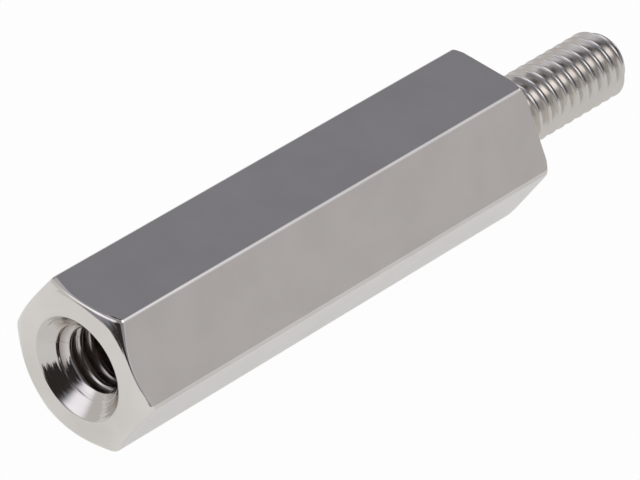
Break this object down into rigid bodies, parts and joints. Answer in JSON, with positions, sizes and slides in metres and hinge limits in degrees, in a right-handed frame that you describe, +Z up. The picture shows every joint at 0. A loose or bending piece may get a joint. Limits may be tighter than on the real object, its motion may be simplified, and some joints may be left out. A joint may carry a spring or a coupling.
{
  "type": "hex standoff",
  "caption": "Hexagonal spacer turned in one piece, with a countersunk threaded socket in one end and a threaded stud with a chamfered tip on the other.",
  "frame": {"origin": "centre of the socket's end face, on the standoff's axis", "axes": "+X along the axis from the socket to the stud; +Z up, square to the flat the standoff lies on; +Y to the left when looking along +X"},
  "size_m": [0.024, 0.0058, 0.005],
  "materials": {
    "nickel": "gloss"
  },
  "bodies": {
    "root": {"hex_standoff": "nickel"}
  },
  "joints": []
}
